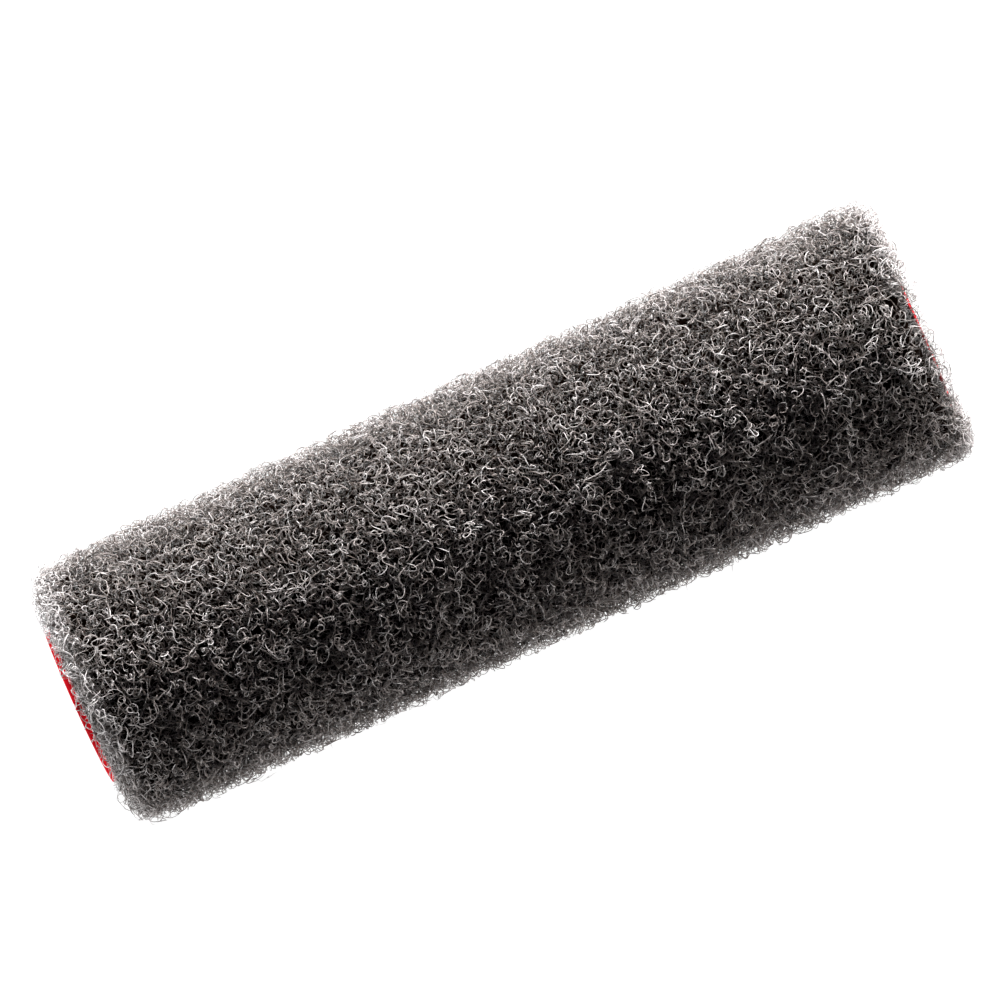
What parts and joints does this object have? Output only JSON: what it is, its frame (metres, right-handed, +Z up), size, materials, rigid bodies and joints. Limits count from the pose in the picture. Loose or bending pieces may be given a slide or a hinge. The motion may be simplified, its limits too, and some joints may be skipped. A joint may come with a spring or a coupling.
{
  "type": "paint roller cover",
  "caption": "Nine-inch paint roller cover with dark grey curly synthetic pile on a wound red plastic core, as a refill sleeve without its frame.",
  "frame": {"origin": "on the surface the cover lies on, below the middle of its length and its axis", "axes": "+X along the roller's axis, from the end with the bare core rim to the end where the pile overhangs; +Y across; +Z up"},
  "size_m": [0.2302, 0.0688, 0.0684],
  "materials": {
    "red_core_plastic": "semi-gloss",
    "bond_plastic": "semi-gloss",
    "knit_backing": "matte",
    "pile_fibre": "matte"
  },
  "bodies": {
    "root": {"core_inner_ply": "red_core_plastic", "core_ply_bond": "bond_plastic", "core_outer_ply": "red_core_plastic", "fabric_bond": "bond_plastic", "fabric_backing": "knit_backing", "curly_pile": "pile_fibre"}
  },
  "joints": []
}
